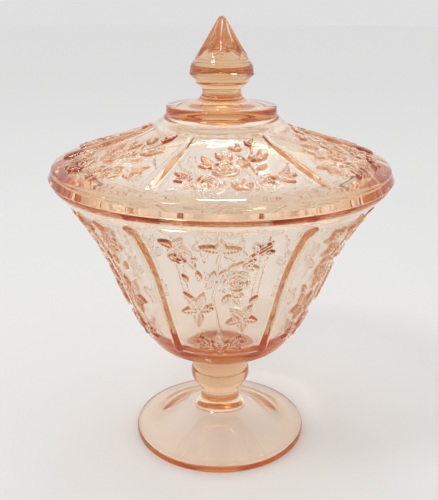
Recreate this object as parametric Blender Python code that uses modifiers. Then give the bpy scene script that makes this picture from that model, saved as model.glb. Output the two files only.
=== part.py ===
"""Lidded candy dish in pressed glass, made in two pieces: a footed bowl, and a lid with a pointed knob.

Lengths are in metres and +Z is up. The origin is the centre of the foot's underside, on the table. Each
piece is one turned outline, with shallow panels pressed into its outer wall all round.
"""

import math

import bmesh
import bpy
from mathutils import Matrix, Vector
from mathutils.geometry import interpolate_bezier

# Foot
FOOT_RADIUS = 0.0413
FOOT_EDGE = 0.0033  # thickness at the edge
FOOT_ROUND = 0.0008
FOOT_RING = 0.0060  # width of the flat ring that the foot rests on
FOOT_HOLLOW = 0.0125  # depth of the domed hollow inside that ring

# Stem
NECK_RADIUS = 0.0091
NECK_HEIGHT = 0.0195  # of the narrowest place above the table
BEAD_RADIUS = 0.0141
BEAD_RISE = 0.0110  # from the neck to the bead
GROOVE_RADIUS = 0.0133
GROOVE_RISE = 0.0035  # from the bead to the groove above it
COLLAR_RADIUS = 0.0138
COLLAR_RISE = 0.0070  # from the groove to where the bowl begins

# Bowl
BASE_RADIUS = 0.0295  # where the underside turns up into the wall
BASE_RISE = 0.0080
BELLY_RADIUS = 0.0482
BELLY_RISE = 0.0337  # from the base to the belly
RIM_RADIUS = 0.0745
RIM_RISE = 0.0463  # from the belly to the rim
RIM_ROUND = 0.0010
WALL = 0.0035
FLOOR_RISE = 0.0080  # from the collar to the middle of the floor
THICK_RISE = 0.0150  # from the base to where the wall begins to thicken towards the floor
THICK_PULL = 0.0080  # how slowly it does so

# Lid
SEAT_GAP = 0.0003  # between the rim and the lid that rests on it
LID_OVERHANG = 0.0015  # how far the lid stands out past the rim
LID_LIP = 0.0015  # height of the lid's widest place above its seat
LID_STEP = 0.0007
LID_BAND = 0.0050  # height of the upright edge band above the seat
SHOULDER_INSET = 0.0030  # from the widest place in to the shoulder
SHOULDER_RISE = 0.0017
DOME_TURN_RADIUS = 0.0377  # where the dome turns steeper
DOME_TURN_RISE = 0.0118  # from the shoulder to that place
DISC_RADIUS = 0.0241
DISC_RISE = 0.0090  # from the turn to the disc's lower edge
DISC_EDGE = 0.0033
LID_WALL = 0.0032
LID_CROWN = 0.0042  # from the disc's top edge down to the top of the hollow
RING_DEPTH = 0.0048  # of the locating ring below the seat
RING_WIDTH = 0.0022
RING_PLAY = 0.0007  # between the locating ring and the bowl's mouth
LID_TURN = math.radians(6.0)  # how far the lid's pattern is turned from the bowl's

# Knob
KNOB_NECK_RADIUS = 0.0084
KNOB_NECK_RISE = 0.0060  # from the disc's top edge to the neck
KNOB_RADIUS = 0.0141
KNOB_RIDGE_RISE = 0.0073  # from the neck to the widest ridge
CONE_RADIUS = 0.0112
CONE_RISE = 0.0072  # from the widest ridge to the foot of the cone
CONE_HEIGHT = 0.0164  # from there to the tip
CONE_LEAN = math.radians(30.3)
TIP_RADIUS = 0.0020

# Panels and facets
PANELS = 6
RIB_ANGLE = math.radians(6.3)  # of the raised rib between two panels
PANEL_RECESS = 0.0010
BOWL_PANEL_BELOW_RIM = 0.0059
BOWL_PANEL_ABOVE_BASE = 0.0071
LID_PANEL_INSIDE_EDGE = 0.0066
LID_PANEL_OUTSIDE_DISC = 0.0055
FACETS = 8
FACET_ANGLE = math.radians(36.0)  # what is left between two facets is a narrow ridge
FACET_TURN = math.radians(-14.0)  # from the lid's panels to the knob's facets

# Fineness of the curves
TURN_STEPS = 48
WALL_STEPS = 6
SHORT_STEPS = 4
PANEL_STEPS = 8

FRONT = math.radians(-90.0)


def curve(start, start_pull, end_pull, end, steps):
    """A smooth stretch of outline. Each pull is a share of the way from start to end, in radius and height."""
    start = Vector(start)
    end = Vector(end)
    way = end - start
    first = start + way * Vector(start_pull)
    second = start + way * Vector(end_pull)
    return interpolate_bezier(start, first, second, end, steps + 1)


def arc(centre, radius, first, last, steps):
    """A round stretch of outline, between two angles in degrees measured up from the outward direction."""
    angles = [math.radians(first + (last - first) * i / steps) for i in range(steps + 1)]
    return [Vector(centre) + radius * Vector((math.cos(a), math.sin(a))) for a in angles]


def offset(points, distance):
    """The outline moved sideways, to its left when distance is positive."""
    moved = []
    for i, point in enumerate(points):
        way = (points[min(i + 1, len(points) - 1)] - points[max(i - 1, 0)]).normalized()
        moved.append(point + distance * Vector((-way.y, way.x)))
    return moved


def crossing(points, axis, value):
    """Where the outline reaches this radius (axis 0) or this height (axis 1)."""
    for a, b in zip(points, points[1:]):
        if min(a[axis], b[axis]) <= value <= max(a[axis], b[axis]) and a[axis] != b[axis]:
            return a.lerp(b, (value - a[axis]) / (b[axis] - a[axis]))
    raise ValueError(f"the outline doesn't reach {value}")


def stretch(points, axis, low, high):
    """The part of the outline between two radii (axis 0) or two heights (axis 1), in its own order."""
    ends = [crossing(points, axis, low), crossing(points, axis, high)]
    if points[0][axis] > points[-1][axis]:
        ends.reverse()
    inside = [p for p in points if low + 0.0005 < p[axis] < high - 0.0005]
    return [ends[0], *inside, ends[1]]


def stem_levels():
    """Heights of the stem's features, from the table up."""
    bead = NECK_HEIGHT + BEAD_RISE
    groove = bead + GROOVE_RISE
    collar = groove + COLLAR_RISE
    return bead, groove, collar, collar + BASE_RISE


def rim_height():
    return stem_levels()[-1] + BELLY_RISE + RIM_RISE


def bowl_wall():
    """The bowl's outer wall, from its base up to where the rim's rounding begins."""
    base = stem_levels()[-1]
    belly = (BELLY_RADIUS, base + BELLY_RISE)
    centre = (RIM_RADIUS - RIM_ROUND, rim_height() - RIM_ROUND)
    lip = arc(centre, RIM_ROUND, -45.0, 0.0, 1)[0]
    lower = curve((BASE_RADIUS, base), (0.29, 0.075), (0.835, 0.765), belly, WALL_STEPS)
    upper = curve(belly, (0.15, 0.23), (0.37, 0.60), lip, WALL_STEPS)
    return lower + upper[1:]


def bowl_inner_wall():
    """The inside of the even part of the wall, from where it thickens up to the rim's flat top."""
    wall = offset(bowl_wall(), WALL)
    low = crossing(wall, 1, stem_levels()[-1] + THICK_RISE)
    top = crossing(wall, 1, rim_height())
    return [low] + [p for p in wall if low.y + 0.002 < p.y < rim_height() - RIM_ROUND] + [top]


def bowl_floor(wall):
    """From the middle of the floor out and up into this inner wall."""
    middle = Vector((0.0, stem_levels()[2] + FLOOR_RISE))
    way = wall[0] - middle
    pull = way - (wall[1] - wall[0]).normalized() * THICK_PULL
    return curve(middle, (0.75, 0.0), (pull.x / way.x, pull.y / way.y), wall[0], WALL_STEPS)


def bowl_outline():
    """From the middle of the floor up the inside, over the rim and down the outside to the foot's middle."""
    bead, groove, collar, base = stem_levels()
    inner = bowl_inner_wall()
    rim = arc((RIM_RADIUS - RIM_ROUND, rim_height() - RIM_ROUND), RIM_ROUND, 90.0, -45.0, 4)
    under = curve((BASE_RADIUS, base), (0.35, 0.31), (1.0, 0.45), (COLLAR_RADIUS, collar), SHORT_STEPS)
    above = curve((COLLAR_RADIUS, collar), (0.0, 0.5), (0.6, 0.9), (GROOVE_RADIUS, groove), 3)
    bulge = curve((GROOVE_RADIUS, groove), (0.8, 0.1), (1.0, 0.6), (BEAD_RADIUS, bead), 4)
    taper = curve((BEAD_RADIUS, bead), (0.0, 0.32), (1.0, 0.64), (NECK_RADIUS, NECK_HEIGHT), 6)
    edge = (FOOT_RADIUS - FOOT_ROUND, FOOT_EDGE)
    spread = curve((NECK_RADIUS, NECK_HEIGHT), (0.0, 0.49), (0.44, 0.80), edge, 8)
    edge_top = arc((edge[0], FOOT_EDGE - FOOT_ROUND), FOOT_ROUND, 90.0, 0.0, 2)
    edge_bottom = arc((edge[0], FOOT_ROUND), FOOT_ROUND, 0.0, -90.0, 2)
    ring = (FOOT_RADIUS - FOOT_RING, 0.0)
    hollow = curve(ring, (0.2, 0.1), (0.7, 1.0), (0.0, FOOT_HOLLOW), WALL_STEPS)
    inside = bowl_floor(inner) + inner[1:]
    outside = bowl_wall()[-2::-1] + under[1:] + above[1:] + bulge[1:] + taper[1:] + spread[1:]
    return inside + rim + outside + edge_top[1:] + edge_bottom + hollow


def lid_levels():
    """Heights of the lid's features above its seat."""
    shoulder = LID_BAND + SHOULDER_RISE
    turn = shoulder + DOME_TURN_RISE
    disc = turn + DISC_RISE
    neck = disc + DISC_EDGE + KNOB_NECK_RISE
    return shoulder, turn, disc, neck


def lid_dome():
    """The dome's outer surface, from the shoulder in and up to the disc's lower edge."""
    shoulder, turn, disc, _ = lid_levels()
    start = (RIM_RADIUS + LID_OVERHANG - SHOULDER_INSET, shoulder)
    middle = (DOME_TURN_RADIUS, turn)
    shallow = curve(start, (0.28, 0.38), (0.57, 0.51), middle, WALL_STEPS)
    steep = curve(middle, (0.40, 0.24), (0.80, 0.56), (DISC_RADIUS, disc), SHORT_STEPS)
    return shallow + steep[1:]


def lid_inside():
    """From the top of the hollow down to the locating ring's inner wall."""
    top = (0.0, lid_levels()[2] + DISC_EDGE - LID_CROWN)
    ring = mouth_radius() - RING_PLAY - RING_WIDTH
    dome = offset(lid_dome(), LID_WALL)[::-1]
    dome = [p for p in dome if DISC_RADIUS < p.x < ring - RING_WIDTH]
    crown = curve(top, (0.75, 0.0), (0.95, 0.35), dome[0], WALL_STEPS)
    return crown + dome[1:] + [crossing(offset(lid_dome(), LID_WALL), 0, ring)]


def mouth_radius():
    """The bowl's inner radius where the locating ring's lower edge hangs."""
    return crossing(bowl_inner_wall(), 1, rim_height() + SEAT_GAP - RING_DEPTH).x


def knob_levels():
    ridge = lid_levels()[-1] + KNOB_RIDGE_RISE
    cone = ridge + CONE_RISE
    return ridge, cone, cone + CONE_HEIGHT


def knob_outline():
    """From the tip down the cone, over the widest ridge and in to the neck."""
    ridge, cone, tip = knob_levels()
    lean = math.degrees(CONE_LEAN)
    point = arc((0.0, tip - TIP_RADIUS), TIP_RADIUS, 90.0, lean, 3)
    crown = curve((CONE_RADIUS, cone), (0.30, 0.25), (0.97, 0.55), (KNOB_RADIUS, ridge), SHORT_STEPS)
    neck = (KNOB_NECK_RADIUS, lid_levels()[-1])
    skirt = curve((KNOB_RADIUS, ridge), (0.18, 0.28), (1.0, 0.55), neck, SHORT_STEPS)
    return point + crown + skirt[1:]


def lid_outline():
    """From the tip down the outside to the rim, then up the hollow to its top."""
    shoulder, _, disc, neck = lid_levels()
    disc_top = (DISC_RADIUS - LID_STEP, disc + DISC_EDGE)
    flare = curve((KNOB_NECK_RADIUS, neck), (0.0, 0.55), (0.25, 0.92), disc_top, SHORT_STEPS)
    disc_edge = [(DISC_RADIUS, disc + DISC_EDGE - LID_STEP)]
    widest = RIM_RADIUS + LID_OVERHANG
    start = (widest - SHOULDER_INSET, shoulder)
    band_top = (widest - 2.0 * LID_STEP, LID_BAND)
    corner = curve(start, (0.75, 0.30), (0.95, 0.80), band_top, 3)
    step = [(widest - LID_STEP, LID_LIP + LID_STEP)]
    lip = arc((widest - LID_LIP, LID_LIP), LID_LIP, 0.0, -90.0, 3)
    ring = mouth_radius() - RING_PLAY
    ease = RING_WIDTH / 4.0
    ring_outer = [(ring + ease, 0.0), (ring, -RING_DEPTH + ease), (ring - ease, -RING_DEPTH)]
    ring_inner = [(ring - RING_WIDTH + ease, -RING_DEPTH), (ring - RING_WIDTH, -RING_DEPTH + ease)]
    outside = knob_outline() + flare[1:] + disc_edge + lid_dome()[::-1] + corner[1:] + step
    return outside + lip + ring_outer + ring_inner + lid_inside()[::-1]


def glass(name, colour):
    """Clear tinted glass."""
    material = bpy.data.materials.new(name)
    material.use_nodes = True
    shader = material.node_tree.nodes["Principled BSDF"]
    shader.inputs["Base Color"].default_value = (*colour, 1.0)
    shader.inputs["Roughness"].default_value = 0.05
    shader.inputs["Metallic"].default_value = 0.0
    shader.inputs["IOR"].default_value = 1.5
    shader.inputs["Transmission Weight"].default_value = 1.0
    return material


def turned(name, outline, material, collection):
    """A solid of revolution about Z."""
    mesh = bpy.data.meshes.new(name)
    points = [(p[0], 0.0, p[1]) for p in outline]
    mesh.from_pydata(points, [(i, i + 1) for i in range(len(points) - 1)], [])
    mesh.materials.append(material)
    solid = bpy.data.objects.new(name, mesh)
    collection.objects.link(solid)
    screw = solid.modifiers.new("Turn", "SCREW")
    screw.axis = "Z"
    screw.angle = math.tau
    screw.steps = TURN_STEPS
    screw.render_steps = TURN_STEPS
    screw.use_merge_vertices = True
    screw.merge_threshold = 0.00001
    screw.use_smooth_shade = True
    return solid


def cutter(name, mesh, parent, collection):
    tool = bpy.data.objects.new(name, mesh)
    tool.hide_render = True
    tool.display_type = "WIRE"
    tool.parent = parent
    collection.objects.link(tool)
    return tool


def panel_mesh(name, wall):
    """A thin curved tile over one panel, whose inner face lies one recess deep in the wall."""
    section = offset(wall, PANEL_RECESS) + offset(wall, -4.0 * PANEL_RECESS)[::-1]
    angle = math.tau / PANELS - RIB_ANGLE
    start = FRONT - angle / 2.0
    tile = bmesh.new()
    corners = [tile.verts.new((p.x * math.cos(start), p.x * math.sin(start), p.y)) for p in section]
    face = tile.faces.new(corners)
    bmesh.ops.spin(
        tile,
        geom=[face, *face.edges, *face.verts],
        cent=(0.0, 0.0, 0.0),
        axis=(0.0, 0.0, 1.0),
        angle=angle,
        steps=PANEL_STEPS,
    )
    bmesh.ops.recalc_face_normals(tile, faces=tile.faces)
    mesh = bpy.data.meshes.new(name)
    tile.to_mesh(mesh)
    tile.free()
    return mesh


def facet_mesh(name):
    """A block that takes one flat off the knob's cone: the side at X = 0 is the flat."""
    length = 2.0 * CONE_HEIGHT
    block = bmesh.new()
    place = Matrix.Translation((length / 2.0, 0.0, length / 2.0)) @ Matrix.Scale(length, 4)
    bmesh.ops.create_cube(block, size=1.0, matrix=place)
    mesh = bpy.data.meshes.new(name)
    block.to_mesh(mesh)
    block.free()
    return mesh


def cut(solid, tool):
    boolean = solid.modifiers.new(tool.name, "BOOLEAN")
    boolean.operation = "DIFFERENCE"
    boolean.solver = "EXACT"
    boolean.object = tool


def press_panels(solid, wall, turn, cutters):
    """Presses the ring of shallow panels into a piece's outer wall. At turn 0 one of them faces the front."""
    mesh = panel_mesh(f"{solid.name}_panel", wall)
    for i in range(PANELS):
        tool = cutter(f"{solid.name}_panel_{i + 1}", mesh, solid, cutters)
        tool.rotation_euler.z = turn + math.tau * i / PANELS
        cut(solid, tool)


def cut_facets(lid, cutters):
    """Flattens the knob's cone into facets that all lean to one point above the tip."""
    cone = knob_levels()[1]
    apex = cone + CONE_RADIUS / math.tan(CONE_LEAN)
    share = math.cos(FACET_ANGLE / 2.0)
    lean = math.atan(share * math.tan(CONE_LEAN))
    mesh = facet_mesh("facet")
    for i in range(FACETS):
        tool = cutter(f"facet_{i + 1}", mesh, lid, cutters)
        turn = Matrix.Rotation(FRONT + LID_TURN + FACET_TURN + math.tau * i / FACETS, 4, "Z")
        place = Matrix.Translation(((apex - cone) * math.tan(lean), 0.0, cone))
        tool.matrix_local = turn @ place @ Matrix.Rotation(-lean, 4, "Y")
        cut(lid, tool)


def footed_bowl(parts, cutters):
    bowl = turned("footed_bowl", bowl_outline(), glass("pink_glass_bowl", (0.90, 0.62, 0.47)), parts)
    low = stem_levels()[-1] + BOWL_PANEL_ABOVE_BASE
    high = rim_height() - BOWL_PANEL_BELOW_RIM
    press_panels(bowl, stretch(bowl_wall(), 1, low, high), 0.0, cutters)
    return bowl


def lid(parts, cutters):
    """The lid rests on the rim, its pattern turned a little from the bowl's, and it lifts along its own axis."""
    cover = turned("lid", lid_outline(), glass("pink_glass_lid", (0.90, 0.60, 0.45)), parts)
    cover.location.z = rim_height() + SEAT_GAP
    low = DISC_RADIUS + LID_PANEL_OUTSIDE_DISC
    high = RIM_RADIUS + LID_OVERHANG - LID_PANEL_INSIDE_EDGE
    press_panels(cover, stretch(lid_dome(), 0, low, high), LID_TURN, cutters)
    cut_facets(cover, cutters)
    return cover


def new_collection(name):
    collection = bpy.data.collections.new(name)
    bpy.context.scene.collection.children.link(collection)
    return collection


def main():
    for old in list(bpy.data.objects):
        bpy.data.objects.remove(old, do_unlink=True)
    parts = new_collection("candy_dish")
    cutters = new_collection("cutters")
    cutters.hide_render = True
    footed_bowl(parts, cutters)
    lid(parts, cutters)


main()
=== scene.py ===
"""Footed candy dish in tinted pressed glass: the bowl and its lid, with rose sprays in low relief."""

import math
from functools import partial
import bpy
import numpy as np
from bpy.props import FloatProperty, FloatVectorProperty, IntProperty, PointerProperty
from mathutils import Matrix, Vector
from mathutils.geometry import interpolate_bezier


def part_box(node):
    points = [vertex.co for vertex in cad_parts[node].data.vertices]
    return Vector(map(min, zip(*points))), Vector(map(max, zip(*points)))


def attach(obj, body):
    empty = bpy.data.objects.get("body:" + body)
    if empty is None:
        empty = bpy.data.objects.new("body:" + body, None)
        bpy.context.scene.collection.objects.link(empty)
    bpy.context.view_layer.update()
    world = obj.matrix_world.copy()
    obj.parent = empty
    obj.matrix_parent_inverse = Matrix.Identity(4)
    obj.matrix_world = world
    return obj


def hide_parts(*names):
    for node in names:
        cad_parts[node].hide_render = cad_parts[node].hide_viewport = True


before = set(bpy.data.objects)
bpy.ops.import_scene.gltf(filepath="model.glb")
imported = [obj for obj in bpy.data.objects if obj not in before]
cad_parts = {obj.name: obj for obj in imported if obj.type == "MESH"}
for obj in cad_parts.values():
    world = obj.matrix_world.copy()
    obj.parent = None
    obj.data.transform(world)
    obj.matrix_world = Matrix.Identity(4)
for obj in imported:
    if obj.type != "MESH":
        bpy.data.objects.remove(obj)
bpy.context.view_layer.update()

bl_info = {
    "name": "Pressed Glass Candy Dish",
    "version": (1, 0, 0),
    "blender": (4, 5, 0),
    "location": "View3D > Sidebar > Candy Dish",
    "description": "Builds a footed, lidded candy dish in tinted pressed glass, and a plain studio for it",
    "category": "Add Mesh",
}

RIM_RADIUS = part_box("footed_bowl")[1].x
RIM_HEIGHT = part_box("footed_bowl")[1].z
LID_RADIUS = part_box("lid")[1].x
LID_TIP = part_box("lid")[1].z

MM = 0.001
FRONT = math.radians(-90.0)

# Rows of a rose's petals: how many, and as shares of the radius their place, half width and half depth
PETAL_ROWS = ((5, 0.80, 0.52, 0.19), (4, 0.50, 0.40, 0.16), (3, 0.24, 0.22, 0.12))
HEART = 0.13  # the heart's share of a rose's radius
STEM_HEIGHT = 0.7  # of a stem, as a share of a leaf's
RIB_HEAD = 0.3  # how high the lid's ribs begin, as a share of their full height
RIB_RUN = 18.0 * MM  # over which they rise to it

KNOB_EDGE = 0.35 * MM  # small bevel above the knob's ridge
FACET_SLOPE = 0.3  # how steeply a facet's lower end runs in

FLOOR_RADIUS = 6.0
FLOOR_SIDES = 96
FLOOR_GAP = 0.3 * MM  # between the floor and the foot
LAMP_AIM = (0.0, 0.0, 0.08)
WINDOW_PLACE = (-0.43, -0.375, 0.995)
WINDOW_SIZE = (0.20, 0.22)
STRIP_PLACE = (0.0, 0.51, 1.19)
STRIP_SIZE = (0.24, 0.05)
CAMERA_PLACE = (0.0, -0.3204, 0.2038)
CAMERA_TILT = math.radians(70.93)
CAMERA_ROLL = math.radians(0.32)
CAMERA_LENS = 52.36
CAMERA_SHIFT = -0.0035


# ---------------------------------------------------------------- outlines


def curve(start, start_pull, end_pull, end, steps):
    """A smooth stretch of outline. Each pull is a share of the way to its end, in radius and height."""
    start = Vector(start)
    end = Vector(end)
    way = end - start
    first = start + way * Vector(start_pull)
    second = start + way * Vector(end_pull)
    return [tuple(p) for p in interpolate_bezier(start, first, second, end, steps + 1)]


def arc(centre, radius, first, last, steps):
    """A round stretch of outline, between two angles in degrees measured up from the outward direction."""
    angles = np.radians(np.linspace(first, last, steps + 1))
    return [(centre[0] + radius * math.cos(a), centre[1] + radius * math.sin(a)) for a in angles]


def normals_of(points):
    """Unit normals to the left of the outline's direction."""
    way = np.gradient(np.asarray(points, float), axis=0)
    way /= np.linalg.norm(way, axis=1)[:, None]
    return np.stack([-way[:, 1], way[:, 0]], 1)


def offset(points, distance):
    """The outline moved sideways, to its left when distance is positive."""
    return [tuple(p) for p in np.asarray(points) + distance * normals_of(points)]


def resample(points, spacing):
    """The same outline with its points evenly spaced."""
    points = np.asarray(points)
    run = np.r_[0.0, np.cumsum(np.linalg.norm(np.diff(points, axis=0), axis=1))]
    even = np.linspace(0.0, run[-1], max(2, round(run[-1] / spacing) + 1))
    return [(np.interp(s, run, points[:, 0]), np.interp(s, run, points[:, 1])) for s in even]


def parted(points, axis, *values):
    """The outline cut into parts where it first reaches each radius (axis 0) or height (axis 1)."""
    parts = []
    rest = list(points)
    for value in values:
        side = [p[axis] - value for p in rest]
        k = next(i for i in range(len(rest) - 1) if side[i] * side[i + 1] <= 0.0)
        a, b = Vector(rest[k]), Vector(rest[k + 1])
        cut = tuple(a.lerp(b, (value - a[axis]) / (b[axis] - a[axis])))
        parts.append(rest[: k + 1] + [cut])
        rest = [cut] + rest[k + 1 :]
    return parts + [rest]


def lifted(points, rise):
    """The outline moved up."""
    return [(r, z + rise) for r, z in points]


def smooth(x, low, high):
    """0 below low, 1 above high, and a smooth step between."""
    t = np.clip((x - low) / (high - low), 0.0, 1.0)
    return t * t * (3.0 - 2.0 * t)


# ---------------------------------------------------------------- turned meshes


class Turned:
    """A closed turned solid, laid ring by ring along an outline that ends down its outer side.

    Each stretch of outline has its own number of columns, and rings whose counts differ are stitched.
    """

    def __init__(self):
        self.points = []
        self.faces = []
        self.count = 0
        self.last = None

    def ring(self, radius, height, angles):
        """Adds one ring, or one point where the radius is nothing, and joins it to the ring before."""
        if np.max(radius) < 1e-6:
            new = [self.count]
            self.points.append([[0.0, 0.0, float(np.mean(height))]])
        else:
            new = list(range(self.count, self.count + len(angles)))
            place = np.stack([radius * np.cos(angles), radius * np.sin(angles), height + 0.0 * angles], 1)
            self.points.append(place)
        if self.last is not None:
            self.join(self.last, new)
        self.count += len(new)
        self.last = new

    def join(self, upper, lower):
        """Faces between two rings. Where one has more columns, each face takes several of them."""
        if max(len(upper), len(lower)) % min(len(upper), len(lower)):
            raise ValueError("Rings of %d and %d columns can't be stitched" % (len(upper), len(lower)))
        a = upper + upper[:1]
        b = lower + lower[:1]
        if len(upper) == 1:
            self.faces += [(upper[0], b[j], b[j + 1]) for j in range(len(lower))]
        elif len(lower) == 1:
            self.faces += [(a[j], lower[0], a[j + 1]) for j in range(len(upper))]
        elif len(upper) >= len(lower):
            k = len(upper) // len(lower)
            for j in range(len(lower)):
                self.faces.append((a[k * j], b[j], b[j + 1], *a[k * j + k : k * j : -1]))
        else:
            k = len(lower) // len(upper)
            for j in range(len(upper)):
                self.faces.append((a[j], *b[k * j : k * j + k + 1], a[j + 1]))

    def stretch(self, outline, columns, relief=None):
        """Adds a stretch of outline. relief gives how far the surface stands out from it."""
        outline = np.asarray(outline, float)
        angles = FRONT + math.tau * np.arange(columns) / columns
        rise = np.zeros((len(outline), columns))
        if relief:
            rise = relief(angles[None, :], outline[:, :1], outline[:, 1:])
        out = normals_of(outline)
        for (radius, height), normal, stand in zip(outline, out, rise):
            self.ring(radius + stand * normal[0], height + stand * normal[1], angles)

    def build(self, name):
        """Makes the object."""
        mesh = bpy.data.meshes.new(name)
        mesh.from_pydata(np.concatenate(self.points).tolist(), [], self.faces)
        mesh.validate()
        mesh.shade_smooth()
        piece = bpy.data.objects.new(name, mesh)
        bpy.context.scene.collection.objects.link(piece)
        return piece


# ---------------------------------------------------------------- pressed pattern


class Spray:
    """Flowers and leaves in relief on one panel. Places are in millimetres, across it and along it."""

    def __init__(self, across, along):
        self.u = across / MM
        self.v = along / MM
        self.height = np.zeros(np.broadcast(across, along).shape)

    def add(self, height):
        """Lays a height, from 0 to 1, over what is there."""
        self.height = np.maximum(self.height, height)

    def lay(self, base, tip):
        """Distance along and beside the line from base to tip, and the share of its length."""
        way = Vector(tip) - Vector(base)
        along = ((self.u - base[0]) * way.x + (self.v - base[1]) * way.y) / way.length
        beside = ((self.u - base[0]) * way.y - (self.v - base[1]) * way.x) / way.length
        return along, beside, np.clip(along / way.length, 0.0, 1.0)

    def leaf(self, base, tip, width):
        """A pointed leaf: two swelling halves beside a deep midrib, with side veins."""
        along, beside, share = self.lay(base, tip)
        half = width / 2.0 * np.sin(math.pi * share**0.8) + 1e-6
        lobe = np.clip(np.abs(beside) / half, 0.0, 1.0)
        swell = 2.0 * np.sqrt(lobe * (1.0 - lobe))
        veins = 0.5 + 0.5 * np.cos(math.tau * (along - 0.9 * np.abs(beside)) / 1.3)
        edge = smooth(half - np.abs(beside), -0.05, 0.25)
        self.add(edge * (0.25 + 0.75 * swell) * (1.0 - 0.35 * veins * smooth(half, 0.6, 1.2)))

    def leaves(self, base, tips, width):
        """Leaves that spread from one place."""
        for tip in tips:
            self.leaf(base, tip, width)

    def rose(self, centre, radius, turn=0.0):
        """A full-blown rose: rings of cupped petals wound round a small heart."""
        x = self.u - centre[0]
        y = self.v - centre[1]
        for count, place, half_width, half_depth in PETAL_ROWS:
            for i in range(count):
                way = turn + 2.0 * place + math.tau * i / count
                beside = (y * math.cos(way) - x * math.sin(way)) / radius
                out = (x * math.cos(way) + y * math.sin(way)) / radius - place
                bow = out + beside**2 / (2.0 * place)
                share = (bow / half_depth) ** 2 + (beside / half_width) ** 2
                self.add((1.1 - 0.3 * place) * np.sqrt(np.clip(1.0 - share, 0.0, 1.0)))
        self.add(np.sqrt(np.clip(1.0 - (x * x + y * y) / (HEART * radius) ** 2, 0.0, 1.0)))

    def bud(self, base, tip, width):
        """A closed bud with folds down its length."""
        along, beside, share = self.lay(base, tip)
        half = width / 2.0 * np.sin(math.pi * share**0.6)
        folds = np.abs(np.cos(math.pi * (beside - 0.12 * along) / 1.35))
        self.add(smooth(half - np.abs(beside), -0.05, 0.3) * (0.3 + 0.7 * folds))

    def stem(self, *points):
        """A thin stem through these points."""
        route = np.asarray(points, float)
        nearest = np.full(self.height.shape, 9.0)
        for a, b in zip(route, route[1:]):
            way = b - a
            share = ((self.u - a[0]) * way[0] + (self.v - a[1]) * way[1]) / (way @ way)
            share = np.clip(share, 0.0, 1.0)
            away = np.hypot(self.u - a[0] - share * way[0], self.v - a[1] - share * way[1])
            nearest = np.minimum(nearest, away)
        self.add(STEM_HEIGHT * smooth(0.5 - nearest, -0.1, 0.4))


def lid_spray(across, along):
    """The spray on one panel of the lid. along is the distance from the axis."""
    s = Spray(across, along)
    s.rose((-11.2, 63.0), 6.9, 0.4)
    s.rose((-3.6, 51.6), 6.3, 2.0)
    s.rose((12.0, 61.8), 5.6, 4.1)
    s.leaves((-16.5, 59.5), [(-24.0, 55.6), (-24.6, 61.6), (-21.5, 66.5)], 4.2)
    s.leaves((-8.0, 50.5), [(-14.6, 49.6), (-12.4, 42.6)], 4.4)
    s.leaves((-3.0, 46.5), [(-6.6, 39.2), (-0.6, 39.4)], 3.8)
    s.leaves((2.2, 49.5), [(2.8, 43.6), (6.4, 47.6)], 3.0)
    s.stem((1.6, 40.2), (4.0, 43.8), (6.2, 49.0), (7.6, 55.4))
    s.stem((4.6, 46.0), (7.8, 40.0), (8.6, 34.0))
    s.leaves((3.6, 38.6), [(-1.4, 36.4), (2.0, 33.6)], 2.4)
    s.leaves((8.2, 36.4), [(5.6, 32.2), (9.6, 30.4)], 2.6)
    s.leaves((9.4, 46.4), [(12.0, 38.2), (15.0, 41.4), (6.0, 42.4)], 3.2)
    s.leaf((8.0, 52.2), (13.4, 49.2), 3.0)
    s.leaves((16.6, 58.2), [(21.6, 53.0), (24.0, 58.6), (22.6, 63.8)], 4.2)
    s.leaves((0.8, 66.4), [(2.6, 58.4), (5.6, 61.6), (-2.8, 60.0)], 3.4)
    s.leaf((7.4, 67.0), (2.6, 69.0), 2.8)
    s.leaf((9.6, 65.8), (8.4, 70.0), 2.4)
    s.leaf((-12.0, 67.0), (-9.2, 70.2), 2.6)
    s.leaf((-14.0, 67.2), (-17.6, 69.6), 2.4)
    return s.height


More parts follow.
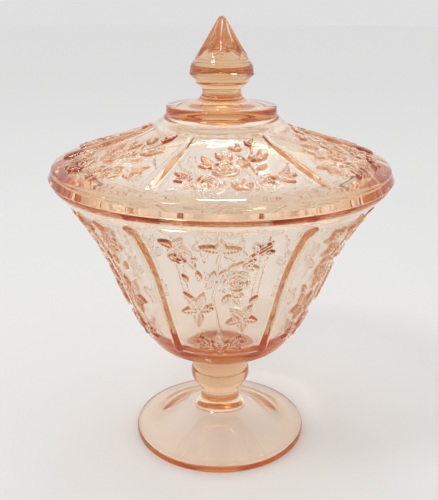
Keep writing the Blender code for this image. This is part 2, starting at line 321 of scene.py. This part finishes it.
def bowl_spray(across, along):
    """The spray on one panel of the bowl. along is the height above the table."""
    s = Spray(across, along)
    s.leaves((0.0, 114.4), [(-8.4, 116.4), (0.3, 120.4), (8.2, 115.6)], 4.4)
    s.stem((0.0, 114.4), (-1.4, 108.6), (-1.0, 102.4))
    s.rose((-16.2, 111.6), 5.2, 0.9)
    s.leaves((-18.2, 115.6), [(-24.4, 118.4), (-14.4, 120.6)], 4.0)
    s.leaves((-12.4, 108.6), [(-8.6, 110.4), (-9.6, 104.6)], 3.2)
    s.bud((14.0, 112.8), (20.6, 118.4), 5.4)
    s.leaves((13.6, 113.0), [(13.6, 118.6), (21.4, 113.0)], 3.2)
    s.stem((14.4, 113.2), (8.4, 108.4), (0.6, 103.4), (-3.2, 99.6))
    s.leaves((8.6, 106.0), [(14.2, 110.2), (15.6, 105.0)], 3.4)
    s.rose((6.6, 98.4), 5.8, 3.0)
    s.leaf((3.6, 103.2), (5.6, 108.4), 3.0)
    s.bud((-3.4, 98.8), (-2.2, 104.6), 3.6)
    s.leaf((-8.0, 98.4), (-9.4, 104.0), 2.8)
    s.leaf((-13.0, 97.6), (-15.6, 101.6), 2.4)
    s.stem((-1.6, 98.4), (-3.0, 90.0), (-1.4, 80.0), (0.0, 70.0))
    s.leaves((-9.2, 83.4), [(-15.4, 92.6), (-6.6, 92.8), (-16.4, 81.6), (-2.6, 84.4), (-8.8, 73.6)], 4.6)
    s.stem((-9.2, 83.4), (-3.0, 86.6))
    s.leaves((4.0, 91.6), [(0.2, 87.0), (7.8, 86.4), (9.8, 91.4)], 3.4)
    s.leaves((9.0, 78.6), [(2.0, 76.2), (3.6, 84.2), (13.4, 86.0), (16.0, 76.8), (9.2, 70.8)], 4.4)
    s.leaf((11.8, 86.6), (15.6, 90.6), 2.8)
    s.leaves((0.0, 60.2), [(-0.6, 71.6), (-4.2, 66.4), (4.2, 66.6)], 4.0)
    s.leaves((-4.4, 63.4), [(-10.6, 65.2), (-8.8, 60.2), (-9.0, 68.8)], 3.4)
    s.leaves((4.4, 63.4), [(10.4, 65.4), (9.0, 60.2), (9.2, 69.2)], 3.4)
    s.leaf((0.0, 61.4), (-2.8, 57.8), 2.6)
    s.leaf((0.0, 61.4), (3.0, 57.8), 2.6)
    return s.height


def panel_place(pattern, angle, radius, turn):
    """Where a point lies across its panel, how far it is from the nearest rib's middle, and which panel."""
    period = math.tau / pattern.panels
    around = angle - FRONT - turn + period / 2.0
    number = np.floor(around / period)
    across = (around - number * period - period / 2.0) * radius
    return across, period / 2.0 * radius - np.abs(across), number


def ribs(pattern, radius, beside, ends):
    """Half-round ribs between the panels, with round ends, as a height from 0 to 1."""
    half = pattern.rib_angle / 2.0 * radius
    away = np.hypot(beside, np.maximum(half - ends, 0.0)) / half
    return np.sqrt(np.clip(1.0 - away * away, 0.0, 1.0))


def relief_of(pattern, rib, ends, spray):
    """How far the glass stands out from the turned outline: ribs and sprays, on sunken panels."""
    sunken = -pattern.recess * smooth(ends, -pattern.end_slope / 2.0, pattern.end_slope / 2.0)
    return sunken + np.maximum(pattern.rib_height * rib, pattern.spray_height * spray)


def bowl_relief(pattern, angle, radius, height):
    """Relief of the bowl's wall. The spray is mirrored on every second panel."""
    across, beside, number = panel_place(pattern, angle, radius, 0.0)
    ends = np.minimum(height - pattern.bowl_low, pattern.bowl_high - height)
    mirrored = np.where(np.mod(number, 2.0) > 0.5, -across, across)
    return relief_of(pattern, ribs(pattern, radius, beside, ends), ends, bowl_spray(mirrored, height))


def lid_relief(pattern, angle, radius, height):
    """Relief of the dome, whose ribs grow higher from the disc outwards."""
    across, beside, _ = panel_place(pattern, angle, radius, pattern.lid_turn)
    ends = np.minimum(radius - pattern.lid_inner, pattern.lid_outer - radius)
    rising = RIB_HEAD + (1.0 - RIB_HEAD) * smooth(radius, pattern.lid_inner, pattern.lid_inner + RIB_RUN)
    return relief_of(pattern, rising * ribs(pattern, radius, beside, ends), ends, lid_spray(across, radius))


# ---------------------------------------------------------------- the bowl


def bowl_wall(size):
    """The outer wall, from where the underside turns up into it to where the rim's rounding begins."""
    base = size.neck_height + size.bead_rise + size.groove_rise + size.collar_rise + size.base_rise
    belly = (size.belly_radius, base + size.belly_rise)
    lip = arc((RIM_RADIUS - size.rim_round, RIM_HEIGHT - size.rim_round), size.rim_round, -45.0, 0.0, 1)[0]
    lower = curve((size.base_radius, base), (0.29, 0.075), (0.835, 0.765), belly, 60)
    upper = curve(belly, (0.15, 0.23), (0.37, 0.60), lip, 60)
    return lower + upper[1:]


def bowl_inner_wall(size):
    """The inner wall, from the floor's middle up. Near the bottom the glass grows thicker."""
    wall = offset(bowl_wall(size), size.wall)
    k = next(i for i, p in enumerate(wall) if p[1] > size.thick_below)
    start = Vector((0.0, size.floor_height))
    end = Vector(wall[k])
    way = end - start
    pull = way - (end - Vector(wall[k - 1])).normalized() * size.thick_pull
    lower = curve(start, (size.floor_flat, 0.0), (pull.x / way.x, pull.y / way.y), end, 30)
    below_rim = [p for p in wall[k + 1 :] if p[1] < RIM_HEIGHT - size.rim_round]
    return lower + below_rim + parted(wall, 1, RIM_HEIGHT)[0][-1:]


def bowl_underside(size):
    """From the wall's foot down the stem, and out over the foot to its edge."""
    bead = size.neck_height + size.bead_rise
    groove = bead + size.groove_rise
    collar = groove + size.collar_rise
    base = collar + size.base_rise
    edge = (size.foot_radius - size.foot_round, size.foot_edge)
    under = curve((size.base_radius, base), (0.35, 0.31), (1.0, 0.45), (size.collar_radius, collar), 10)
    above = curve((size.collar_radius, collar), (0.0, 0.5), (0.6, 0.9), (size.groove_radius, groove), 6)
    bulge = curve((size.groove_radius, groove), (0.8, 0.1), (1.0, 0.6), (size.bead_radius, bead), 8)
    neck = (size.neck_radius, size.neck_height)
    taper = curve((size.bead_radius, bead), (0.0, 0.32), (1.0, 0.64), neck, 12)
    spread = curve(neck, (0.0, 0.49), (0.44, 0.80), edge, 22)
    return under[1:] + above[1:] + bulge[1:] + taper[1:] + spread[1:]


def build_bowl(size, pattern):
    """The whole bowl, from the floor's middle round the rim and down to the middle of the foot's hollow."""
    inner = bowl_inner_wall(size)
    rim = arc((RIM_RADIUS - size.rim_round, RIM_HEIGHT - size.rim_round), size.rim_round, 90.0, -45.0, 8)
    corner = size.foot_radius - size.foot_round
    edge = arc((corner, size.foot_edge - size.foot_round), size.foot_round, 90.0, 0.0, 5)
    edge += arc((corner, size.foot_round), size.foot_round, 0.0, -90.0, 5)
    ring_inside = (size.foot_radius - size.foot_ring, 0.0)
    hollow = curve(ring_inside, (0.2, 0.1), (0.7, 1.0), (0.0, size.foot_hollow), 24)
    plain = pattern.columns // 5
    wall = bowl_wall(size)[::-1]
    margin = pattern.end_slope / 2.0
    head, panels, foot = parted(wall, 1, pattern.bowl_high + margin, pattern.bowl_low - margin)
    solid = Turned()
    solid.stretch(resample(inner, 2.5 * MM), plain)
    solid.stretch(rim, plain)
    solid.stretch(resample(head, 0.6 * MM)[1:-1], plain)
    solid.stretch(resample(panels, pattern.spacing), pattern.columns, partial(bowl_relief, pattern))
    solid.stretch(resample(foot, 1.2 * MM)[1:], plain)
    solid.stretch(bowl_underside(size), plain)
    solid.stretch(edge[1:] + hollow, plain)
    return solid.build("bowl_glass")


# ---------------------------------------------------------------- the lid


def lid_dome(size):
    """The dome, from the shoulder inside the lid's edge up to the disc, with heights above the seat."""
    middle = (size.turn_radius, size.shoulder + size.turn_rise)
    start = (LID_RADIUS - size.shoulder_inset, size.shoulder)
    outer = curve(start, (0.28, 0.38), (0.57, 0.51), middle, 60)
    disc = (size.disc_radius, middle[1] + size.disc_rise)
    return outer + curve(middle, (0.40, 0.24), (0.80, 0.56), disc, 30)[1:]


def lid_knob(size, disc_top):
    """The knob's outline in three stretches: the faceted cone, the crown and neck, and the flare."""
    neck = disc_top + size.knob_neck_rise
    ridge = neck + size.knob_ridge_rise
    cone = ridge + size.cone_rise
    tip = LID_TIP - RIM_HEIGHT - size.seat_gap - size.tip_radius
    point = arc((0.0, tip), size.tip_radius, 90.0, math.degrees(size.cone_lean), 6)
    slope = resample([point[-1], (size.cone_radius, cone)], 0.35 * MM)
    corner = (size.cone_radius + 0.45 * size.crown_swell, cone - 0.36 * size.cone_rise)
    lower = ridge + KNOB_EDGE
    crown = curve((size.cone_radius, cone), (0.3, 0.5), (0.9, 0.7), corner, 6)
    crown += curve(corner, (0.55, 0.02), (1.0, 0.45), (size.knob_radius - KNOB_EDGE, lower), 14)[1:]
    crown += [(size.knob_radius, ridge), (size.knob_radius - 0.5 * MM, ridge - 0.6 * MM)]
    middle = (0.5 * (size.knob_radius + size.knob_neck_radius), neck + 0.42 * size.knob_ridge_rise)
    skirt = curve(crown[-1], (0.3, 0.1), (0.8, 0.5), middle, 8)
    below = (middle[0] - 0.45 * MM, middle[1] - 0.25 * MM)
    skirt += curve(below, (0.35, 0.2), (1.0, 0.5), (size.knob_neck_radius, neck), 12)
    end = (size.disc_radius - size.disc_round, disc_top)
    flare = curve((size.knob_neck_radius, neck), (0.0, 0.55), (0.25, 0.92), end, 14)
    return point + slope[1:], crown[1:] + skirt[1:], flare[1:]


def knob_facets(size, seat, angle, radius, height):
    """Shallow hollowed facets up the cone, with round lower ends and a narrow ridge between neighbours."""
    period = math.tau / size.facets
    around = angle - FRONT - size.facet_turn + period / 2.0
    half = size.facet_angle / 2.0
    away = np.clip((np.mod(around, period) - period / 2.0) / half, -1.0, 1.0)
    full = radius * (1.0 - math.cos(half)) + size.facet_hollow * smooth(radius, 1.5 * MM, 7.0 * MM)
    depth = np.minimum(full, FACET_SLOPE * np.maximum(height - seat - size.facet_end, 0.0))
    return -np.maximum(depth - full * away * away, 0.0)


def build_lid(size, bowl, pattern):
    """The whole lid, from the knob's tip round the edge and the locating ring to the middle of its hollow."""
    seat = RIM_HEIGHT + size.seat_gap
    dome = lid_dome(size)
    disc_top = dome[-1][1] + size.disc_edge
    cone, crown, flare = lid_knob(size, disc_top)
    disc = [(size.disc_radius, disc_top - size.disc_round), dome[-1]]
    corner = curve(dome[0], (0.75, 0.30), (0.95, 0.80), (LID_RADIUS - 2.0 * size.step, size.band), 8)
    step = [(LID_RADIUS - size.step, size.lip + size.step)]
    lip = arc((LID_RADIUS - size.lip, size.lip), size.lip, 0.0, -90.0, 6)
    ring = parted(bowl_inner_wall(bowl), 1, seat - size.ring_depth)[0][-1][0] - size.ring_play
    ease = size.ring_width / 4.0
    ring_outer = [(ring + ease, 0.0), (ring, -size.ring_depth + ease), (ring - ease, -size.ring_depth)]
    ring_inside = ring - size.ring_width
    ring_inner = [(ring_inside + ease, -size.ring_depth), (ring_inside, -size.ring_depth + ease)]
    under = offset(dome, size.wall)
    inside = [p for p in under if size.disc_radius < p[0] < ring_inside - size.ring_width][::-1]
    crown_inside = curve((0.0, disc_top - size.crown), (0.75, 0.0), (0.95, 0.35), inside[0], 16)
    inside = crown_inside + inside[1:] + parted(under, 0, ring_inside)[0][-1:]
    plain = pattern.columns // 4
    margin = pattern.end_slope / 2.0
    head, panels, foot = parted(dome[::-1], 0, pattern.lid_inner - margin, pattern.lid_outer + margin)
    solid = Turned()
    solid.stretch(lifted(cone, seat), pattern.columns // 2, partial(knob_facets, size, seat))
    solid.stretch(lifted(crown + flare + disc, seat), plain)
    solid.stretch(lifted(resample(head, 1.0 * MM)[1:-1], seat), plain)
    dome_panels = resample(lifted(panels, seat), pattern.spacing * 0.75)
    solid.stretch(dome_panels, pattern.columns, partial(lid_relief, pattern))
    solid.stretch(lifted(resample(foot, 1.0 * MM)[1:], seat), plain)
    solid.stretch(lifted(corner[1:] + step + lip + ring_outer + ring_inner, seat), plain)
    solid.stretch(lifted(resample(inside[::-1], 2.0 * MM), seat), plain)
    return solid.build("lid_glass")


# ---------------------------------------------------------------- shaders


class Value:
    """A shader socket in a Python sum: an expression on values adds its Math nodes."""

    def __init__(self, shader, socket):
        self.shader = shader
        self.socket = socket

    def math(self, operation, first, second):
        """Adds a Math node."""
        return self.shader.node("ShaderNodeMath", {"operation": operation}, {0: first, 1: second})[0]

    def __add__(self, other):
        return self.math("ADD", self, other)

    __radd__ = __add__

    def __mul__(self, other):
        return self.math("MULTIPLY", self, other)

    __rmul__ = __mul__


class Shader:
    """The node tree of a material or a world."""

    def __init__(self, owner):
        owner.use_nodes = True
        self.tree = owner.node_tree
        self.tree.nodes.clear()

    def node(self, kind, settings, inputs):
        """Adds a node and returns its outputs by number and name. Inputs are constants, or values to link."""
        made = self.tree.nodes.new(kind)
        for name, value in settings.items():
            setattr(made, name, value)
        for name, value in inputs.items():
            if isinstance(value, Value):
                self.tree.links.new(value.socket, made.inputs[name])
            else:
                made.inputs[name].default_value = value
        outputs = {i: Value(self, s) for i, s in enumerate(made.outputs)}
        outputs.update({s.name: Value(self, s) for s in made.outputs})
        return outputs


def pressed_glass(name, look):
    """Clear glass, tinted in its depth, with the faint waves that the mould and the polishing fire leave."""
    material = bpy.data.materials.new(name)
    shader = Shader(material)
    place = shader.node("ShaderNodeTexCoord", {}, {})["Object"]
    long_waves = {"Vector": place, "Scale": 1.0 / look.wave_size, "Detail": 1.0}
    waves = shader.node("ShaderNodeTexNoise", {}, long_waves)[0]
    short_waves = {"Vector": place, "Scale": 9.0 / look.wave_size, "Detail": 2.0}
    chill = shader.node("ShaderNodeTexNoise", {}, short_waves)[0]
    relief = {"Height": waves + chill * 0.08, "Strength": 1.0, "Distance": look.wave_height}
    bump = shader.node("ShaderNodeBump", {}, relief)[0]
    smear = shader.node("ShaderNodeTexNoise", {}, {"Vector": place, "Scale": 55.0, "Detail": 3.0})[0]
    surface = shader.node(
        "ShaderNodeBsdfPrincipled",
        {},
        {
            "Base Color": (1.0, 1.0, 1.0, 1.0),
            "Roughness": smear * look.smear,
            "IOR": look.ior,
            "Transmission Weight": 1.0,
            "Normal": bump,
        },
    )[0]
    depth = {"Color": (*look.tint, 1.0), "Density": look.density}
    volume = shader.node("ShaderNodeVolumeAbsorption", {}, depth)[0]
    shader.node("ShaderNodeOutputMaterial", {}, {"Surface": surface, "Volume": volume})
    return material


# ---------------------------------------------------------------- properties


def length(name, description, default):
    words = {"name": name, "description": description}
    return FloatProperty(**words, default=default, min=0.0, unit="LENGTH", precision=4)


def angle(name, description, degrees):
    return FloatProperty(name=name, description=description, default=math.radians(degrees), subtype="ANGLE")


def power(name, description, watts):
    return FloatProperty(name=name, description=description, default=watts, subtype="POWER")


class BowlSizes(bpy.types.PropertyGroup):
    foot_radius: length("Foot radius", "Outer radius of the foot", 0.0413)
    foot_edge: length("Foot edge", "Thickness of the foot at its edge", 0.0033)
    foot_round: length("Foot rounding", "Rounding of the foot's edge", 0.0008)
    foot_ring: length("Foot ring", "Width of the flat ring that the foot rests on", 0.0060)
    foot_hollow: length("Foot hollow", "Depth of the hollow inside that ring", 0.0125)
    neck_radius: length("Neck radius", "Radius of the stem's narrowest place", 0.0091)
    neck_height: length("Neck height", "Height of the narrowest place above the table", 0.0195)
    bead_radius: length("Bead radius", "Radius of the bead on the stem", 0.0141)
    bead_rise: length("Bead rise", "From the neck up to the bead", 0.0110)
    groove_radius: length("Groove radius", "Radius of the groove above the bead", 0.0133)
    groove_rise: length("Groove rise", "From the bead up to the groove", 0.0035)
    collar_radius: length("Collar radius", "Radius where the bowl begins", 0.0138)
    collar_rise: length("Collar rise", "From the groove up to the collar", 0.0070)
    base_radius: length("Base radius", "Radius where the underside turns up into the wall", 0.0295)
    base_rise: length("Base rise", "From the collar up to that place", 0.0080)
    belly_radius: length("Belly radius", "Radius of the wall at the belly", 0.0482)
    belly_rise: length("Belly rise", "From the base up to the belly", 0.0337)
    rim_round: length("Rim rounding", "Rounding of the rim", 0.0010)
    wall: length("Wall", "Thickness of the bowl's wall", 0.0035)
    floor_height: length("Floor height", "Height of the floor's middle above the table", 0.0490)
    floor_flat: FloatProperty(name="Floor flat", description="Flatness of the floor, 0 to 1", default=0.75)
    thick_below: length("Thick below", "Height below which the wall grows thicker", 0.0640)
    thick_pull: length("Thick pull", "How slowly it does so", 0.0080)


class LidSizes(bpy.types.PropertyGroup):
    lip: length("Lip", "Rounding of the lid's lower edge", 0.0015)
    step: length("Step", "Small steps in the outline", 0.0007)
    band: length("Band", "Height of the upright edge band above the seat", 0.0050)
    shoulder_inset: length("Shoulder inset", "From the widest place in to the shoulder", 0.0030)
    shoulder: length("Shoulder", "Height of the shoulder above the seat", 0.0067)
    turn_radius: length("Turn radius", "Radius where the dome turns steeper", 0.0377)
    turn_rise: length("Turn rise", "From the shoulder up to that place", 0.0118)
    disc_radius: length("Disc radius", "Radius of the disc under the knob", 0.0241)
    disc_rise: length("Disc rise", "From the turn up to the disc", 0.0090)
    disc_edge: length("Disc edge", "Thickness of the disc's edge", 0.0033)
    disc_round: length("Disc rounding", "Bevel of the disc's upper edge", 0.0003)
    wall: length("Wall", "Thickness of the lid", 0.0032)
    crown: length("Crown", "Thickness of the glass under the disc's top", 0.0042)
    seat_gap: length("Seat gap", "Between the rim and the lid that rests on it", 0.0003)
    ring_depth: length("Ring depth", "Depth of the locating ring below the seat", 0.0048)
    ring_width: length("Ring width", "Thickness of the locating ring", 0.0022)
    ring_play: length("Ring play", "Between the locating ring and the bowl's mouth", 0.0007)
    knob_neck_radius: length("Knob neck radius", "Radius of the knob's neck", 0.0084)
    knob_neck_rise: length("Knob neck rise", "From the disc's top up to the neck", 0.0060)
    knob_radius: length("Knob radius", "Radius of the knob's widest ridge", 0.0141)
    knob_ridge_rise: length("Knob ridge rise", "From the neck up to the ridge", 0.0073)
    cone_radius: length("Cone radius", "Radius of the cone at its foot", 0.0112)
    cone_rise: length("Cone rise", "From the ridge up to the cone's foot", 0.0072)
    crown_swell: length("Crown swell", "How far the crown stands out past the cone", 0.0029)
    cone_lean: angle("Cone lean", "Lean of the cone's side", 30.3)
    tip_radius: length("Tip radius", "Rounding of the knob's tip", 0.0020)
    facets: IntProperty(name="Facets", description="Facets round the knob", default=8, min=3)
    facet_angle: angle("Facet angle", "Width of a facet", 39.0)
    facet_turn: angle("Facet turn", "How far the facets are turned from the front", -8.0)
    facet_hollow: length("Facet hollow", "How far a facet is hollowed", 0.0007)
    facet_end: length("Facet end", "Height of the facets' lower ends above the seat", 0.0508)


class PatternSizes(bpy.types.PropertyGroup):
    panels: IntProperty(name="Panels", description="Panels round the bowl and the lid", default=6, min=3)
    rib_angle: angle("Rib angle", "Width of the rib between two panels", 6.0)
    rib_height: length("Rib height", "How far the ribs stand out from the panels", 0.0017)
    recess: length("Recess", "Depth of the panels", 0.0004)
    end_slope: length("End slope", "Length of the soft slope at a panel's ends", 0.0040)
    spray_height: length("Spray height", "How far the sprays stand out from their panels", 0.0014)
    bowl_low: length("Bowl panel foot", "Height of the lower end of the bowl's panels", 0.0561)
    bowl_high: length("Bowl panel head", "Height of the upper end of the bowl's panels", 0.1231)
    lid_inner: length("Lid panel head", "Radius of the inner end of the lid's panels", 0.0296)
    lid_outer: length("Lid panel foot", "Radius of the outer end of the lid's panels", 0.0694)
    lid_turn: angle("Lid turn", "How far the lid's pattern is turned from the bowl's", 6.0)
    columns: IntProperty(name="Columns", description="Points round a patterned wall", default=1200, min=120)
    spacing: length("Spacing", "Distance between the rings of a patterned wall", 0.0004)


class GlassLook(bpy.types.PropertyGroup):
    ior: FloatProperty(name="IOR", description="Refractive index of the glass", default=1.52)
    tint: FloatVectorProperty(
        name="Tint",
        description="Colour of the glass in its depth",
        subtype="COLOR",
        size=3,
        default=(0.8875, 0.525, 0.10),
    )
    density: FloatProperty(name="Density", description="Strength of the tint, for each metre", default=50.0)
    wave_size: length("Wave size", "Length of the waves in the surface", 0.012)
    wave_height: length("Wave height", "Height of the waves in the surface", 0.00008)
    smear: FloatProperty(name="Smear", description="Roughness left by handling", default=0.03)


class StudioLook(bpy.types.PropertyGroup):
    paper: FloatVectorProperty(
        name="Paper",
        description="Colour of the floor",
        subtype="COLOR",
        size=3,
        default=(0.77, 0.77, 0.766),
    )
    sky: FloatProperty(name="Sky", description="Brightness all round", default=1.0)
    window: power("Window", "Power of the window light", 1.8)
    strip: power("Strip", "Power of the strip light behind", 0.5)


# ---------------------------------------------------------------- operators


class CANDYDISH_OT_studio(bpy.types.Operator):
    """Add the pale floor, the light and the camera"""

    bl_idname = "candydish.studio"
    bl_label = "Studio"

    def execute(self, context):
        scene = context.scene
        look = scene.candy_studio
        mesh = bpy.data.meshes.new("floor")
        edge = arc((0.0, 0.0), FLOOR_RADIUS, 0.0, 360.0, FLOOR_SIDES)[1:]
        mesh.from_pydata([(x, y, -FLOOR_GAP) for x, y in edge], [], [tuple(range(FLOOR_SIDES))])
        floor = bpy.data.objects.new("floor", mesh)
        scene.collection.objects.link(floor)
        material = bpy.data.materials.new("floor_paper")
        shader = Shader(material)
        matt = {"Base Color": (*look.paper, 1.0), "Roughness": 0.95, "Specular IOR Level": 0.0}
        surface = shader.node("ShaderNodeBsdfPrincipled", {}, matt)[0]
        shader.node("ShaderNodeOutputMaterial", {}, {"Surface": surface})
        mesh.materials.append(material)
        self.light(scene, look)
        self.look_from(scene)
        return {"FINISHED"}

    def light(self, scene, look):
        """A sky that is brighter behind and above, and two lamps."""
        world = bpy.data.worlds.new("studio")
        scene.world = world
        sky = Shader(world)
        way = sky.node("ShaderNodeTexCoord", {}, {})["Generated"]
        part = sky.node("ShaderNodeSeparateXYZ", {}, {"Vector": way})
        room = sky.node("ShaderNodeMapRange", {}, {"Value": part["Y"], 1: -0.9, 2: -0.1, 3: 0.35, 4: 1.0})[0]
        high = sky.node("ShaderNodeMapRange", {}, {"Value": part["Z"], 1: 0.05, 2: 0.6, 3: 0.74, 4: 1.12})[0]
        bright = room * high
        grey = sky.node("ShaderNodeCombineColor", {}, {0: bright, 1: bright, 2: bright})[0]
        background = sky.node("ShaderNodeBackground", {}, {"Color": grey, "Strength": look.sky})[0]
        sky.node("ShaderNodeOutputWorld", {}, {"Surface": background})
        self.add_lamp(scene, "window", WINDOW_PLACE, WINDOW_SIZE, look.window)
        self.add_lamp(scene, "strip", STRIP_PLACE, STRIP_SIZE, look.strip)

    def add_lamp(self, scene, name, place, size, power):
        """A rectangular lamp that faces the dish."""
        lamp = bpy.data.lights.new(name, "AREA")
        lamp.shape = "RECTANGLE"
        lamp.size, lamp.size_y = size
        lamp.energy = power
        box = bpy.data.objects.new(name, lamp)
        box.location = place
        box.rotation_euler = (Vector(LAMP_AIM) - box.location).to_track_quat("-Z", "Y").to_euler()
        scene.collection.objects.link(box)

    def look_from(self, scene):
        """The camera, and the light paths that clear glass needs."""
        lens = bpy.data.cameras.new("camera")
        lens.lens = CAMERA_LENS
        lens.shift_x = CAMERA_SHIFT
        camera = bpy.data.objects.new("camera", lens)
        tilt = Matrix.Rotation(CAMERA_TILT, 4, "X")
        roll = Matrix.Rotation(CAMERA_ROLL, 4, "Z")
        camera.matrix_world = Matrix.Translation(CAMERA_PLACE) @ tilt @ roll
        scene.collection.objects.link(camera)
        scene.camera = camera
        scene.view_settings.view_transform = "Standard"
        scene.cycles.max_bounces = 48
        scene.cycles.transmission_bounces = 48
        scene.cycles.glossy_bounces = 24
        scene.cycles.diffuse_bounces = 6
        scene.cycles.blur_glossy = 0.0
        scene.cycles.sample_clamp_indirect = 0.0


class CANDYDISH_OT_bowl(bpy.types.Operator):
    """Add the footed bowl"""

    bl_idname = "candydish.bowl"
    bl_label = "Footed bowl"

    def execute(self, context):
        scene = context.scene
        piece = build_bowl(scene.candy_bowl, scene.candy_pattern)
        piece.data.materials.append(pressed_glass("bowl_pressed_glass", scene.candy_glass))
        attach(piece, "bowl")
        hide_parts("footed_bowl")
        return {"FINISHED"}


class CANDYDISH_OT_lid(bpy.types.Operator):
    """Add the lid with its faceted knob"""

    bl_idname = "candydish.lid"
    bl_label = "Lid"

    def execute(self, context):
        scene = context.scene
        piece = build_lid(scene.candy_lid, scene.candy_bowl, scene.candy_pattern)
        piece.data.materials.append(pressed_glass("lid_pressed_glass", scene.candy_glass))
        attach(piece, "lid")
        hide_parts("lid")
        return {"FINISHED"}


class CANDYDISH_PT_panel(bpy.types.Panel):
    """Candy dish tools"""

    bl_label = "Candy Dish"
    bl_space_type = "VIEW_3D"
    bl_region_type = "UI"
    bl_category = "Candy Dish"

    def draw(self, context):
        column = self.layout.column(align=True)
        for operator in OPERATORS:
            column.operator(operator.bl_idname)


GROUPS = {
    "candy_bowl": BowlSizes,
    "candy_lid": LidSizes,
    "candy_pattern": PatternSizes,
    "candy_glass": GlassLook,
    "candy_studio": StudioLook,
}
OPERATORS = (CANDYDISH_OT_studio, CANDYDISH_OT_bowl, CANDYDISH_OT_lid)


def register():
    for kind in (*GROUPS.values(), *OPERATORS, CANDYDISH_PT_panel):
        bpy.utils.register_class(kind)
    for name, group in GROUPS.items():
        setattr(bpy.types.Scene, name, PointerProperty(type=group))


def unregister():
    for name in GROUPS:
        delattr(bpy.types.Scene, name)
    for kind in reversed((*GROUPS.values(), *OPERATORS, CANDYDISH_PT_panel)):
        bpy.utils.unregister_class(kind)


def main():
    register()
    bpy.ops.candydish.studio()
    bpy.ops.candydish.bowl()
    bpy.ops.candydish.lid()


if __name__ == "__main__":
    main()
